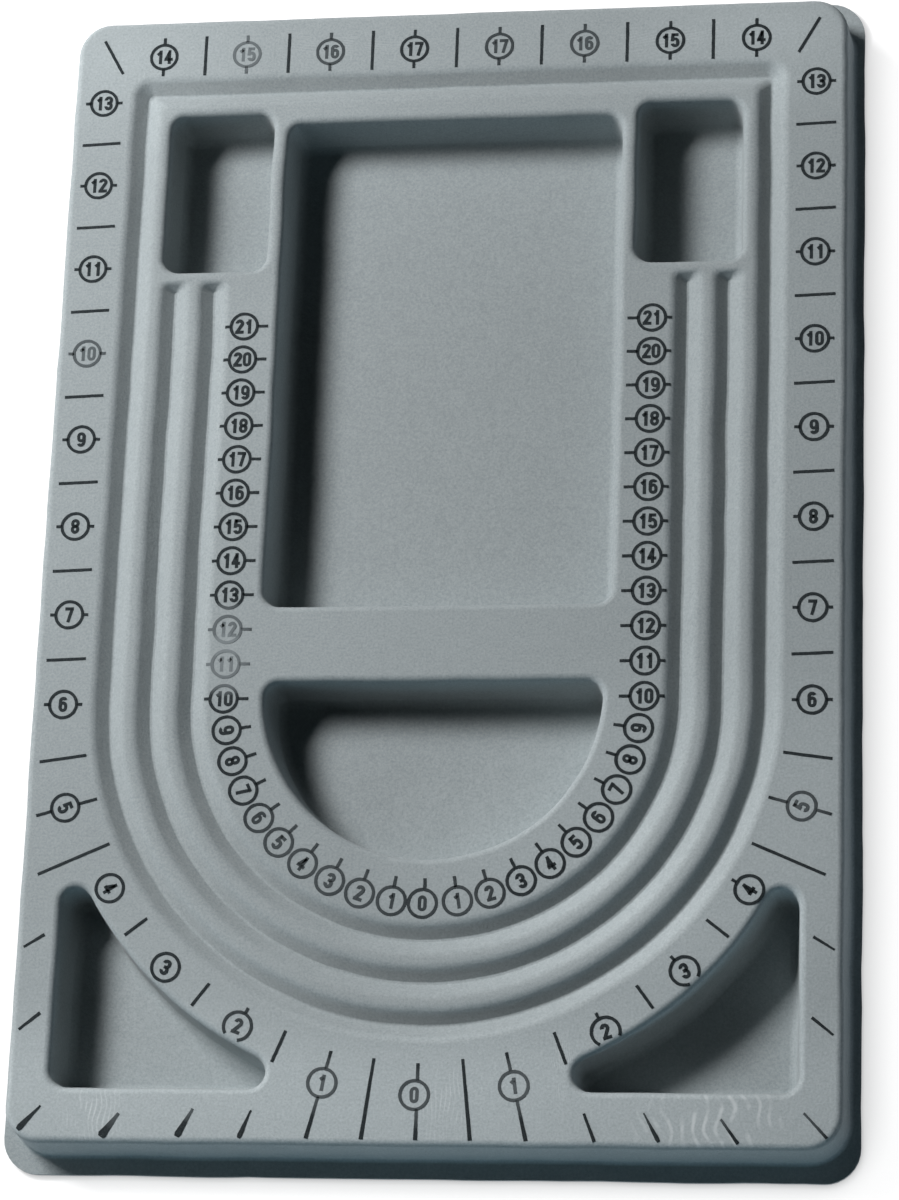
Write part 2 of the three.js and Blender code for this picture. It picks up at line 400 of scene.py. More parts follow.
def bridgeOn(strip, ring, lastLevel):
    # joins a new ring to the last ring of the strip
    joinPieces([strip, ring])
    bpy.ops.object.mode_set(mode="EDIT")
    bpy.ops.mesh.select_mode(type="EDGE")
    close = press["close"]
    selectEdges(lambda faces, at: faces == 0 or (faces == 1 and abs(at.z - lastLevel) < close))
    bpy.ops.mesh.bridge_edge_loops()


def loftRings(arcsAt, section, stretches):
    # one ring for each point of the section, each bridged to the ring before it
    strip = drawOutline(arcsAt(section[0][0]), section[0][1], stretches)
    for (_, lastLevel), (run, level) in zip(section, section[1:]):
        bridgeOn(strip, drawOutline(arcsAt(run), level, stretches), lastLevel)
    return strip


def insideLoop(at):
    # True on the deck that the outer channel encloses
    middle = loopRadius - halfChannel
    if at.y > bendY:
        return abs(at.x) < middle and at.y < loopTop - halfChannel
    return hypot(at.x, at.y - bendY) < middle


def pressSkin():
    face = press["faceLevel"]
    halfX = press["width"] / 2
    halfY = press["length"] / 2
    boardStretches = (press["sideStretches"], press["endStretches"]) * 2

    # skirt from its foot up to the face, then the trimmed brim round it
    skirtPoints = sectionPoints(skirtSection, skirt)
    rise = [(skirtSection["reach"] - run, level) for run, level in reversed(skirtPoints)]
    footX = faceX + skirtSection["reach"]
    footY = faceY + skirtSection["reach"]
    footCorner = press["faceCorner"] + skirtSection["reach"]
    footArcs = rectangleArcs(-footX, footX, -footY, footY, footCorner)
    border = sinkOutline(footArcs, brimLevel, rise, boardStretches)
    bpy.ops.mesh.delete(type="ONLY_FACE")
    trimArcs = rectangleArcs(-halfX, halfX, -halfY, halfY, press["trimCorner"])
    bridgeOn(border, drawOutline(trimArcs, brimLevel, boardStretches), brimLevel)

    # wells
    wellPoints = sectionPoints(wellSection, wells)
    corner = wells["corner"]
    sideWell = rectangleArcs(sideInner, sideOuter, sideBottom, sideTop, corner)
    wellOutlines = (
        rectangleArcs(-centreX, centreX, centreBottom, centreTop, corner),
        sideWell,
        mirroredArcs(sideWell),
        halfMoonArcs(),
        cornerWellArcs(),
        mirroredArcs(cornerWellArcs()),
    )
    hollows = [sinkOutline(arcs, face, wellPoints) for arcs in wellOutlines]

    # the outer channel runs all the way round; the others close at the bottom with a narrow flat
    down = sectionPoints(channelSection, channels)
    across = down + [(2 * halfChannel - run, level) for run, level in reversed(down[:-1])]
    side = channels["sideStretches"]
    loop = loftRings(loopArcs, across, (side, channels["topStretches"], side))
    leg = channels["legStretches"]
    legStretches = (leg, channels["endStretches"], leg) * 2
    for i in range(1, channels["count"]):
        middle = loopRadius - halfChannel - i * pitch
        hollow = loftRings(lambda inset: channelArcs(middle, inset), down[:-1], legStretches)
        selectEdges(lambda faces, at: faces == 1 and at.z < face - channels["depth"] / 2)
        bpy.ops.mesh.edge_face_add()
        hollows.append(hollow)

    # flat face between them, the border first
    skin = joinPieces([border, loop] + hollows)
    bpy.ops.object.mode_set(mode="EDIT")
    bpy.ops.mesh.select_mode(type="EDGE")
    top = face - press["close"]
    for inner in (False, True):
        selectEdges(lambda faces, at: faces == 1 and at.z > top and insideLoop(at) == inner)
        bpy.ops.mesh.fill()
    bpy.ops.mesh.select_all(action="SELECT")
    bpy.ops.transform.resize(value=(mm, mm, mm), center_override=(0, 0, 0))
    bpy.ops.mesh.remove_doubles(threshold=press["close"] * mm)
    bpy.ops.mesh.normals_make_consistent(inside=False)
    faceUp()
    bpy.ops.object.mode_set(mode="OBJECT")
    print("skin pressed:", len(skin.data.polygons), "faces")
    return skin


def applyModifier(piece, kind, **settings):
    modifier = piece.modifiers.new(kind.lower(), kind)
    for name, value in settings.items():
        setattr(modifier, name, value)
    bpy.context.view_layer.objects.active = piece
    bpy.ops.object.modifier_apply(modifier=modifier.name)


def shiftByClouds(piece, name, axis, size, reach):
    clouds = bpy.data.textures.new(name + axis, "CLOUDS")
    clouds.noise_scale = size
    clouds.noise_depth = 1
    clouds.noise_basis = "BLENDER_ORIGINAL" if axis == "X" else "IMPROVED_PERLIN"
    applyModifier(
        piece,
        "DISPLACE",
        texture=clouds,
        texture_coords="LOCAL",
        direction=axis,
        strength=reach,
        mid_level=0.5,
    )


def thicken(piece, wall):
    applyModifier(
        piece,
        "SOLIDIFY",
        thickness=wall * mm,
        offset=-1,
        use_even_offset=False,
        use_quality_normals=True,
    )
    deselectAll()
    piece.select_set(True)
    bpy.ops.object.shade_smooth_by_angle(angle=radians(press["sharpTurn"]))
    applyModifier(
        piece,
        "WEIGHTED_NORMAL",
        mode="FACE_AREA",
        keep_sharp=True,
        weight=press["flatWeight"],
    )
    print(piece.name, "thickened:", len(piece.data.polygons), "faces")


flockCover = pressSkin()
flockCover.name = "flock_cover"
for axis in "XY":
    shiftByClouds(flockCover, "wave", axis, uneven["size"], uneven["reach"])
    shiftByClouds(flockCover, "drift", axis, uneven["longSize"], uneven["longReach"])
deselectAll()
flockCover.select_set(True)
bpy.context.view_layer.objects.active = flockCover
bpy.ops.object.duplicate()
traySheet = bpy.context.object
traySheet.name = "tray_sheet"
applyModifier(
    traySheet,
    "DISPLACE",
    direction="NORMAL",
    strength=-press["flock"] * mm,
    mid_level=0,
)
# tight bends at the channels' ends stay under the flock
for point in traySheet.data.vertices:
    point.co.z = min(point.co.z, trayHigh.z)
thicken(traySheet, press["sheet"])
thicken(flockCover, press["flock"] - press["glueLine"])
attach(flockCover, "root")
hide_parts("flock_layer")
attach(traySheet, "root")
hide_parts("formed_tray")


# Printed scales: circles, numerals and strokes, drawn flat in millimetres and laid on the flock
ink = {
    "ring": 3.75,  # to the middle of the circle's line
    "ringPoints": 48,
    "line": 0.86,
    "stroke": 0.84,
    "strokeParts": 10,
    "swell": 1.2,  # power by which a stroke widens from its start
    "flare": 1.1,
    "flareStart": 0.7,  # share of its width that a flared line starts with
    "brushFrom": 1.2,  # width past which a line at the edge is a brushed stroke
    "brushStart": 0.3,
    "brushEnd": 0.6,  # share of its width at its rounded end
    "roundFrom": 0.95,  # where along it the end is rounded
    "lift": 0.04,
    "film": 0.06,
    "ragged": 0.16,  # by which the print's edges wander
    "ragSize": 1.3,
    "dip": 0.35,  # the print stops where the flock lies this far under the face
}
pen = {
    "width": 0.92,
    "height": 4.3,
    "span": 2.44,
    "pitch": 2.6,
    "stepTurn": 22,  # degrees of a bend that one step takes
    "stemShift": 0.25,
    "flag": 1.15,
    "flagTurn": 217,
    "crossbar": 0.28,  # height of the four's bar, as a share of the digit
    "bowlTop": 0.4,
    "fiveTurn": 140,  # where the five's bowl leaves its stem
    "fiveTail": 170,
    "sixTurn": 25,  # where the six's top bow ends
}
inchScale = {
    "inch": 25.5,
    "sideX": 101.5,
    "sideY": -42.3,
    "sideFirst": 6,
    "sideLast": 13,
    "sideTick": 1.6,
    "halfLine": 11.0,
    "halfRise": 0.2,  # by which each half of it climbs to the right
    "topY": 150.1,
    "topX": 12.15,
    "topInch": 24.2,
    "topFirst": 17,
    "topCount": 4,
    "topTick": 2.2,
    "topLine": 12.2,
    "cornerTick": ((96.5, 145.2), (102.4, 155.7)),
    "arcY": -43.4,
    "arcTurns": (0, 13.9, 29.1, 43.9, 59.6, 74.3),  # degrees from the foot, for 0 to 5
    "arcRadii": (104.8, 104.9, 99.6, 99.1, 98.8, 102.8),
    "digitTurns": (0, 9, 19, 25, 58, 64),  # degrees that the numerals themselves are turned by
    "rightOut": (0, 0.4, 0.9, 0.5, 0.4, 0),  # by which those on the right sit further out
    "zeroX": -0.7,
    "arcTicks": ((0, 96.5, 116.6), (1, 96.3, 120), (5, 93.8, 111)),  # (number, from, to)
    "shortTicks": ((2, -1, 1.8), (2, 1, 1.8), (3, 1, 1.6), (4, 1, 1.6)),  # (number, side, length)
    # (turn, from, to) of the lines between the numbers
    "arcLines": (
        (7, 96, 117.4),
        (21.9, 95, 104),
        (36.8, 94.5, 102),
        (52, 94.5, 102),
        (66.3, 94, 115),
        (82, 95, 108),
    ),
    "flareTurn": 15,  # lines nearer to the foot than this widen outwards
    # (turn, from, to, width on the left, width on the right) where lines come out again at the edge
    "edgeStrokes": (
        (58.5, 126.4, 119.9, 0.9, 0.85),
        (50.6, 139.2, 132.0, 0.95, 0.9),
        (42.7, 147.7, 156.4, 1.9, 0.85),
        (35.6, 135.7, 143.4, 2.6, 0.95),
        (28.5, 124.0, 132.4, 2.1, 1.3),
        (21.8, 117.6, 125.5, 1.5, 0.95),
    ),
}
centimetreScale = {
    "step": 9.8,
    "legX": 57.0,
    "legY": -41.0,
    "legFirst": 10,
    "legLast": 21,
    "innerTick": 3.0,
    "outerTick": 1.7,
    "arcRadius": 56.4,
    "arcStep": 9.0,
    "zeroX": -0.5,
}


def inkRing():
    # one circle, at the origin
    deselectAll()
    outer = ink["ring"] + ink["line"] / 2
    bpy.ops.mesh.primitive_circle_add(vertices=ink["ringPoints"], radius=outer)
    ring = bpy.context.object
    bpy.ops.object.mode_set(mode="EDIT")
    bpy.ops.mesh.select_all(action="SELECT")
    bpy.ops.mesh.extrude_edges_move()
    bpy.ops.transform.resize(value=[1 - ink["line"] / outer] * 2 + [1], center_override=(0, 0, 0))
    bpy.ops.object.mode_set(mode="OBJECT")
    return ring


def inkStroke(startWidth, endWidth=1):
    # a line of unit length and width from the origin along X
    deselectAll()
    bpy.ops.mesh.primitive_grid_add(x_subdivisions=ink["strokeParts"], y_subdivisions=1, size=1)
    stroke = bpy.context.object
    bpy.ops.object.mode_set(mode="EDIT")
    bpy.ops.mesh.select_all(action="SELECT")
    bpy.ops.transform.translate(value=(0.5, 0, 0))
    mesh = bmesh.from_edit_mesh(stroke.data)
    for point in mesh.verts:
        point.co.y *= startWidth + (1 - startWidth) * point.co.x ** ink["swell"]
        if point.co.x > ink["roundFrom"]:
            point.co.y *= endWidth
    bmesh.update_edit_mesh(stroke.data)
    bpy.ops.object.mode_set(mode="OBJECT")
    return stroke


def inkCopy(master, x, y, turn=0, size=(1, 1)):
    copy = master.copy()
    copy.data = master.data.copy()
    copy.location = (x, y, 0)
    copy.rotation_euler = (0, 0, radians(turn))
    copy.scale = (size[0], size[1], 1)
    bpy.context.collection.objects.link(copy)
    return copy


def strokeBetween(master, start, end, width):
    length = hypot(end[0] - start[0], end[1] - start[1])
    turn = degrees(atan2(end[1] - start[1], end[0] - start[0]))
    return inkCopy(master, start[0], start[1], turn, (length, width))


def penStroke(start, heading, moves):
    # a flat line of the pen's width; a move is a length straight on, or (radius, degrees) round a bend
    deselectAll()
    bpy.ops.mesh.primitive_plane_add(size=1)
    stroke = bpy.context.object
    bpy.ops.object.mode_set(mode="EDIT")
    bpy.ops.mesh.select_mode(type="VERT")
    bpy.ops.mesh.merge(type="CENTER")
    x, y = start
    acrossX = pen["width"] * sin(radians(heading))
    acrossY = -pen["width"] * cos(radians(heading))
    bpy.ops.transform.translate(value=(x - acrossX / 2, y - acrossY / 2, 0))
    bpy.ops.mesh.extrude_vertices_move(TRANSFORM_OT_translate={"value": (acrossX, acrossY, 0)})
    bpy.ops.mesh.select_all(action="SELECT")
    for move in moves:
        if isinstance(move, tuple):
            radius, turn = move
            side = 1 if turn > 0 else -1
            middleX = x - side * radius * sin(radians(heading))
            middleY = y + side * radius * cos(radians(heading))
            steps = max(2, round(abs(turn) / pen["stepTurn"]))
            bpy.ops.mesh.spin(
                steps=steps,
                angle=radians(-turn),
                center=(middleX, middleY, 0),
                axis=(0, 0, 1),
            )
            heading += turn
            x = middleX + side * radius * sin(radians(heading))
            y = middleY - side * radius * cos(radians(heading))
        else:
            stepX = move * cos(radians(heading))
            stepY = move * sin(radians(heading))
            bpy.ops.mesh.extrude_edges_move(TRANSFORM_OT_translate={"value": (stepX, stepY, 0)})
            x += stepX
            y += stepY
    bpy.ops.mesh.select_all(action="SELECT")
    bpy.ops.mesh.remove_doubles(threshold=press["close"])
    bpy.ops.object.mode_set(mode="OBJECT")
    return stroke


def penLine(start, end):
    run = hypot(end[0] - start[0], end[1] - start[1])
    return start, degrees(atan2(end[1] - start[1], end[0] - start[0])), (run,)


def numeralStrokes():
    # (start, heading, moves) of each digit's strokes; the nine is a six upside down
    half = pen["width"] / 2
    r = pen["span"] / 2 - half
    top = pen["height"] / 2 - half
    edge = pen["height"] / 2
    tallSide = 2 * (top - r)
    shortSide = top - 2 * r
    sixSide = top + pen["bowlTop"] - 2 * r
    diagonal = 2 * degrees(atan2(2 * top - r, r)) - 90  # tangent from the two's bow to its foot
    barLevel = 2 * top * pen["crossbar"] - top
    stem = pen["stemShift"]
    five = radians(pen["fiveTurn"])
    fiveStart = r * cos(five), pen["bowlTop"] - r + r * sin(five)
    six = radians(pen["sixTurn"])
    sixStart = r * cos(six), top - r + r * sin(six)
    return {
        0: [((r, r - top), 90, (tallSide, (r, 180), tallSide, (r, 180)))],
        1: [
            penLine((stem, -edge), (stem, edge)),
            ((stem, top - half / 2), pen["flagTurn"], (pen["flag"],)),
        ],
        2: [
            ((-r, top - r), 90, ((r, diagonal - 270), 2 * top - r)),
            penLine((-r - half, -top), (r + half, -top)),
        ],
        3: [
            ((-r, top - r), 90, ((r, -180), shortSide, (r, -90), half)),
            ((0, 0), 0, ((r, -90), shortSide, (r, -180))),
        ],
        4: [
            penLine((stem, -edge), (stem, edge)),
            penLine((stem, top), (-r, barLevel)),
            penLine((-r - half, barLevel), (r + half, barLevel)),
        ],
        5: [
            penLine((r + half / 2, top), (-r, top)),
            penLine((-r + half / 2, edge), (-r, fiveStart[1] - half)),
            (fiveStart, pen["fiveTurn"] - 90, ((r, -pen["fiveTurn"]), sixSide, (r, -pen["fiveTail"]))),
        ],
        6: [
            ((r, r - top), 90, (sixSide, (r, 180), sixSide, (r, 180))),
            (sixStart, pen["sixTurn"] + 90, ((r, 180 - pen["sixTurn"]), tallSide)),
        ],
        7: [penLine((-r - half, top), (r + half, top)), penLine((r, top), (-stem, -edge))],
        8: [
            ((r, r - top), 90, (shortSide, (r, 180), shortSide, (r, 180))),
            ((r, r), 90, (shortSide, (r, 180), shortSide, (r, 180))),
        ],
    }


def inkNumber(digits, number, x, y, turn=0):
    copies = []
    written = str(number)
    for place, digit in enumerate(written):
        along = (place - (len(written) - 1) / 2) * pen["pitch"]
        at = x + along * cos(radians(turn)), y + along * sin(radians(turn))
        if digit == "9":
            copies.append(inkCopy(digits[6], at[0], at[1], turn + 180))
        else:
            copies.append(inkCopy(digits[int(digit)], at[0], at[1], turn))
    return copies


def polar(middleY, turn, radius, side):
    # a point on the scale's bend, this many degrees from the foot
    return side * radius * sin(radians(turn)), middleY - radius * cos(radians(turn))


def layInk(name, strokes):
    # all is joined, laid on the flock, cut off where the flock dips and given the film's thickness
    marks = joinPieces(strokes)
    marks.name = name
    bpy.ops.object.transform_apply(location=True, rotation=True, scale=True)
    bpy.ops.object.mode_set(mode="EDIT")
    bpy.ops.mesh.select_all(action="SELECT")
    bpy.ops.transform.resize(value=(mm, mm, mm), center_override=(0, 0, 0))
    bpy.ops.transform.translate(value=(0, 0, 2 * press["faceLevel"] * mm))
    faceUp()
    bpy.ops.object.mode_set(mode="OBJECT")
    for axis in "XY":
        shiftByClouds(marks, name, axis, ink["ragSize"] * mm, ink["ragged"] * mm)
    applyModifier(
        marks,
        "SHRINKWRAP",
        target=flockCover,
        wrap_method="PROJECT",
        use_project_z=True,
        use_negative_direction=True,
        use_positive_direction=False,
        offset=ink["lift"] * mm,
    )
    low = (press["faceLevel"] - ink["dip"]) * mm
    bpy.ops.object.mode_set(mode="EDIT")
    bpy.ops.mesh.select_mode(type="FACE")
    bpy.ops.mesh.select_all(action="DESELECT")
    mesh = bmesh.from_edit_mesh(marks.data)
    for face in mesh.faces:
        face.select_set(min(v.co.z for v in face.verts) < low)
    bmesh.update_edit_mesh(marks.data)
    bpy.ops.mesh.delete(type="FACE")
    bpy.ops.object.mode_set(mode="OBJECT")
    applyModifier(marks, "SOLIDIFY", thickness=ink["film"] * mm, offset=-1, use_even_offset=False)
    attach(marks, "root")
    print(name, "laid:", len(marks.data.polygons), "faces")
    return marks


def drawInches(digits, ring, line, flare, brush):
    scale = inchScale
    strokes = []
    reach = ink["ring"]
    width = ink["stroke"]
    turns = scale["arcTurns"]

    def radial(master, turn, near, far, side, thick):
        start = polar(scale["arcY"], turn, near, side)
        end = polar(scale["arcY"], turn, far, side)
        strokes.append(strokeBetween(master, start, end, thick))

    def outward(turn, near, far, side):
        if turn < scale["flareTurn"]:
            radial(flare, turn, near, far, side, ink["flare"])
        else:
            radial(line, turn, near, far, side, width)

    for side in (-1, 1):
        # straight runs up both sides
        x = side * scale["sideX"]
        for number in range(scale["sideFirst"], scale["sideLast"] + 1):
            y = scale["sideY"] + scale["inch"] * (number - scale["sideFirst"])
            strokes += inkNumber(digits, number, x, y)
            strokes.append(inkCopy(ring, x, y))
            for out in (-1, 1):
                start = x + out * reach
                end = start + out * scale["sideTick"]
                strokes.append(strokeBetween(line, (start, y), (end, y), width))
            if number < scale["sideLast"]:
                half = y + scale["inch"] / 2
                left = x - scale["halfLine"] / 2, half - scale["halfRise"]
                right = x + scale["halfLine"] / 2, half + scale["halfRise"]
                strokes.append(strokeBetween(line, left, right, width))

        # along the top
        y = scale["topY"]
        halfLine = scale["topLine"] / 2
        for i in range(scale["topCount"]):
            x = side * (scale["topX"] + i * scale["topInch"])
            strokes += inkNumber(digits, scale["topFirst"] - i, x, y)
            strokes.append(inkCopy(ring, x, y))
            for out in (-1, 1):
                start = y + out * reach
                end = start + out * scale["topTick"]
                strokes.append(strokeBetween(line, (x, start), (x, end), width))
            if i == 0 and side > 0:
                continue  # one line serves both sides
            between = side * i * scale["topInch"]
            low, high = (between, y - halfLine), (between, y + halfLine)
            strokes.append(strokeBetween(line, low, high, width))
        corner = [(side * x, y) for x, y in scale["cornerTick"]]
        strokes.append(strokeBetween(line, corner[0], corner[1], width))

        # round the bend, with one zero for both sides
        outs = scale["rightOut"] if side > 0 else [0] * len(turns)
        radii = [radius + out for radius, out in zip(scale["arcRadii"], outs)]
        for number, (turn, radius) in enumerate(zip(turns, radii)):
            if number == 0 and side > 0:
                continue
            x, y = polar(scale["arcY"], turn, radius, side)
            x += 0 if number else scale["zeroX"]
            strokes += inkNumber(digits, number, x, y, side * scale["digitTurns"][number])
            strokes.append(inkCopy(ring, x, y))
        for number, near, far in scale["arcTicks"]:
            if number == 0 and side > 0:
                continue
            radial(line, turns[number], near, radii[number] - reach, side, width)
            outward(turns[number], radii[number] + reach, far, side)
        for number, onSide, length in scale["shortTicks"]:
            if onSide == side:
                rim = radii[number] - reach
                radial(line, turns[number], rim - length, rim, side, width)
        for turn, near, far in scale["arcLines"]:
            outward(turn, near, far, side)
        for turn, near, far, leftWide, rightWide in scale["edgeStrokes"]:
            thick = leftWide if side < 0 else rightWide
            radial(brush if thick > ink["brushFrom"] else flare, turn, near, far, side, thick)
    return layInk("inch_scale_print", strokes)


def drawCentimetres(digits, ring, line):
    scale = centimetreScale
    strokes = []
    reach = ink["ring"]
    width = ink["stroke"]
    for side in (-1, 1):
        for number in range(scale["legFirst"], scale["legLast"] + 1):
            x = side * scale["legX"]
            y = scale["legY"] + scale["step"] * (number - scale["legFirst"])
            strokes += inkNumber(digits, number, x, y)
            strokes.append(inkCopy(ring, x, y))
            for out, tick in ((-side, "innerTick"), (side, "outerTick")):
                start = x + out * reach
                end = start + out * scale[tick]
                strokes.append(strokeBetween(line, (start, y), (end, y), width))
        for number in range(scale["legFirst"]):
            if number == 0 and side > 0:
                continue
            turn = number * scale["arcStep"]
            x, y = polar(scale["legY"], turn, scale["arcRadius"], side)
            x += 0 if number else scale["zeroX"]
            strokes += inkNumber(digits, number, x, y, side * turn)
            strokes.append(inkCopy(ring, x, y))
            rim = scale["arcRadius"] - reach
            near = polar(scale["legY"], turn, rim - scale["innerTick"], side)
            far = polar(scale["legY"], turn, rim, side)
            strokes.append(strokeBetween(line, near, far, width))
    return layInk("centimetre_scale_print", strokes)


ringMaster = inkRing()
lineMaster = inkStroke(1)
flareMaster = inkStroke(ink["flareStart"])
brushMaster = inkStroke(ink["brushStart"], ink["brushEnd"])
digitMasters = {}
for digit, strokes in numeralStrokes().items():
    digitMasters[digit] = joinPieces([penStroke(*stroke) for stroke in strokes])
inchPrint = drawInches(digitMasters, ringMaster, lineMaster, flareMaster, brushMaster)
centimetrePrint = drawCentimetres(digitMasters, ringMaster, lineMaster)
deselectAll()
for master in [ringMaster, lineMaster, flareMaster, brushMaster] + list(digitMasters.values()):
    master.select_set(True)
bpy.ops.object.delete()


# Finishes, all on Object coordinates in metres; a noise is (scale, detail, roughness)
spotDepth = 0.1  # far more than the board's height, so that a spot shows at every level


def newMaterial(name, values):
    material = bpy.data.materials.new(name)
    material.use_nodes = True
    shader = material.node_tree.nodes["Principled BSDF"]
    for socket, value in values.items():
        shader.inputs[socket].default_value = value
    return material, material.node_tree, shader


def addNode(tree, kind, settings=None, inputs=None):
    made = tree.nodes.new(kind)
    for name, value in (settings or {}).items():
        setattr(made, name, value)
    for name, value in (inputs or {}).items():
        made.inputs[name].default_value = value
    return made


def addNoise(tree, coords, grain):
    values = dict(zip(("Scale", "Detail", "Roughness"), grain))
    noise = addNode(tree, "ShaderNodeTexNoise", None, values)
    tree.links.new(coords, noise.inputs["Vector"])
    return noise.outputs["Fac"]


def addRamp(tree, factor, places, colours):
    ramp = addNode(tree, "ShaderNodeValToRGB")
    elements = ramp.color_ramp.elements
    while len(elements) < len(places):
        elements.new(0.5)
    for element, place, colour in zip(elements, places, colours):
        element.position = place
        element.color = (*colour, 1)
    tree.links.new(factor, ramp.inputs["Fac"])
    return ramp.outputs["Color"]


def addMath(tree, operation, first, second, clamp=False):
    maths = addNode(tree, "ShaderNodeMath", {"operation": operation, "use_clamp": clamp})
    for socket, value in zip(maths.inputs, (first, second)):
        if isinstance(value, (int, float)):
            socket.default_value = value
        else:
            tree.links.new(value, socket)
    return maths.outputs["Value"]


def addScaled(tree, value, times, plus):
    return addMath(tree, "ADD", addMath(tree, "MULTIPLY", value, times), plus)


def addStep(tree, value, start, end):
    # 0 at the start, smoothly to 1 at the end
    step = addNode(tree, "ShaderNodeMapRange", {"interpolation_type": "SMOOTHSTEP"})
    step.inputs["From Min"].default_value = start
    step.inputs["From Max"].default_value = end
    tree.links.new(value, step.inputs["Value"])
    return step.outputs["Result"]


def addMix(tree, factor, first, second):
    # from the first, a socket, to the second, a plain colour
    mix = addNode(tree, "ShaderNodeMix", {"data_type": "RGBA"})
    tree.links.new(factor, mix.inputs[0])
    tree.links.new(first, mix.inputs[6])
    mix.inputs[7].default_value = (*second, 1)
    return mix.outputs[2]


def addSpot(tree, coords, x, y, sizeX, sizeY, turn=0):
    # 1 in the middle of an oval on the face, 0 at its edge; returns it with its own coordinates
    place = addNode(tree, "ShaderNodeMapping", {"vector_type": "TEXTURE"})
    place.inputs["Location"].default_value = (x * mm, y * mm, press["faceLevel"] * mm)
    place.inputs["Rotation"].default_value = (0, 0, radians(turn))
    place.inputs["Scale"].default_value = (sizeX * mm, sizeY * mm, spotDepth)
    tree.links.new(coords, place.inputs["Vector"])
    ball = addNode(tree, "ShaderNodeTexGradient", {"gradient_type": "SPHERICAL"})
    tree.links.new(place.outputs["Vector"], ball.inputs["Vector"])
    return ball.outputs["Fac"], place.outputs["Vector"]


def addBump(tree, shader, height, values):
    bump = addNode(tree, "ShaderNodeBump", None, values)
    tree.links.new(height, bump.inputs["Height"])
    tree.links.new(bump.outputs["Normal"], shader.inputs["Normal"])


flockFinish = {
    "shadow": (0.275, 0.315, 0.325),
    "body": (0.33, 0.372, 0.382),
    "tips": (0.39, 0.433, 0.443),
    "stops": (0.34, 0.5, 0.68),  # places of the three on the ramp
    "scuff": (0.76, 0.81, 0.82),
    "fibres": (1500, 5, 0.7),
    "clumps": (330, 3, 0.6),
    "clumpShare": 0.14,  # of the colour's pattern
    "clumpHeight": 0.3,
    "drifts": (24, 3, 0.5),
    "driftSwing": 0.06,
    "driftLevel": 0.97,
    "bump": {"Strength": 0.4, "Distance": 0.3 * mm},
    "shader": {
        "Roughness": 1.0,
        "Specular IOR Level": 0.05,
        "Sheen Weight": 0.12,
        "Sheen Roughness": 0.6,
    },
    # (x, y, half length, half width, strength) of the patches of painted light and shade: paler ones
    # stand in for more light on the face, darker ones are painted shade on the wells' floors
    "paintedLightPatches": (
        (62, -100, 85, 75, 0.34),
        (-62, -128, 60, 48, 0.16),
        (92, 152, 50, 30, 0.26),
        (-98, 150, 45, 32, 0.18),
        (0, -152, 60, 24, 0.14),
        (-64, 104, 26, 36, -0.17),
        (66, 106, 26, 34, -0.08),
        (8, 62, 58, 90, -0.09),
        (42, 50, 36, 80, -0.06),
        (104, -62, 24, 60, 0.13),
        (87, -136, 22, 18, -0.15),
    ),
    "paintedFootLight": 0.3,  # painted light: how much paler the rim at the foot is made
    "paintedFootLightFrom": -118 * mm,
    "paintedFootLightTo": -146 * mm,
    "paintedFootLightDip": 1.2 * mm,  # under the face, where the painted light stops
    # (x, y, half length, half width, turn, strength) of the brushed marks
    "scuffs": (
        (77, -153, 23, 11, 8, 0.75),
        (-86, -153, 9, 10, 0, 0.5),
        (38, -141, 4, 9, 5, 0.5),
        (8, -151, 8, 13, 0, 0.4),
        (60, 151, 6, 20, 98, 0.15),
        (-30, 152, 5, 24, 84, 0.15),
    ),
    "scuffWave": {"Scale": 2.2, "Distortion": 6.0, "Detail": 0.0, "Detail Scale": 0.7},
    "scuffLine": (0.62, 0.98),  # the part of the wave that shows
    "scuffEdge": 0.6,  # power; less holds the mark's strength nearer to its edge
    "breaks": (170, 2, 0.5),  # the brushed marks come and go
    "breakStep": (0.36, 0.62),
}


